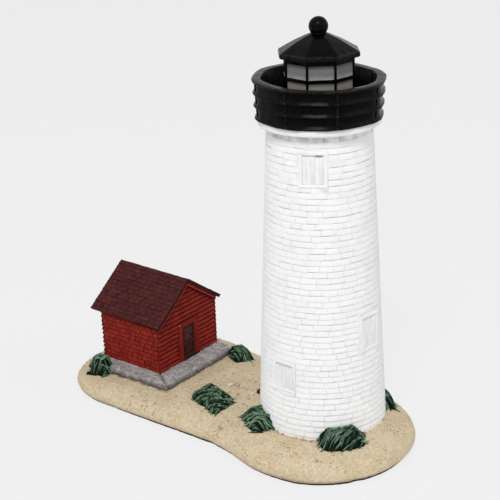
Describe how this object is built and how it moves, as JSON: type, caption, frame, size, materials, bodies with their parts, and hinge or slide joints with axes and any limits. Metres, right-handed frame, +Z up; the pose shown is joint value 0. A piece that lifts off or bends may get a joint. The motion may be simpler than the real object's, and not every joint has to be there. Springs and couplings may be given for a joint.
{
  "type": "lighthouse figurine",
  "caption": "Cast table ornament: a white brick light tower with a black gallery and lantern, and a red boarded keeper's shed with a shingled roof, on one low sandy base with grass tufts.",
  "frame": {"origin": "on the light tower's axis, in the plane that the felt underside stands on", "axes": "+Z up along the tower; +X from the shed towards the tower, square to the shed's door gable; +Y to the back, so -Y is the long open side of the base"},
  "size_m": [0.1594, 0.0787, 0.165],
  "materials": {
    "felt": "napped felt",
    "sand": "matte, sandy grain",
    "white_brick": "matte paint over brick relief",
    "black_paint": "satin black paint",
    "panes": "satin grey paint",
    "stone": "rough painted stone",
    "red_boards": "matte paint over board relief",
    "shingles": "matte paint over shingle relief",
    "door_brown": "matte paint",
    "grass": "dry-brushed matte paint"
  },
  "bodies": {
    "root": {"felt_pad": "felt", "sand_base": "sand", "tower_shaft": "white_brick", "tower_window_upper": "white_brick", "tower_window_middle": "white_brick", "tower_window_lower": "white_brick", "tower_door_frame": "white_brick", "tower_door": "door_brown", "tower_step": "door_brown", "tower_cornice": "white_brick", "gallery_deck": "black_paint", "gallery_parapet": "black_paint", "lantern_glazing": "panes", "lantern_frame": "black_paint", "lantern_roof": "black_paint", "roof_ball": "black_paint", "shed_plinth": "stone", "shed_walls": "red_boards", "shed_roof": "shingles", "shed_bargeboard_front": "red_boards", "shed_bargeboard_back": "red_boards", "shed_door_frame": "red_boards", "shed_door": "door_brown", "tuft_shed_front": "grass", "tuft_shed_back": "grass", "tuft_path": "grass", "tuft_tower_shed": "grass", "tuft_tower_front": "grass", "tuft_tower_back": "grass"}
  },
  "joints": []
}
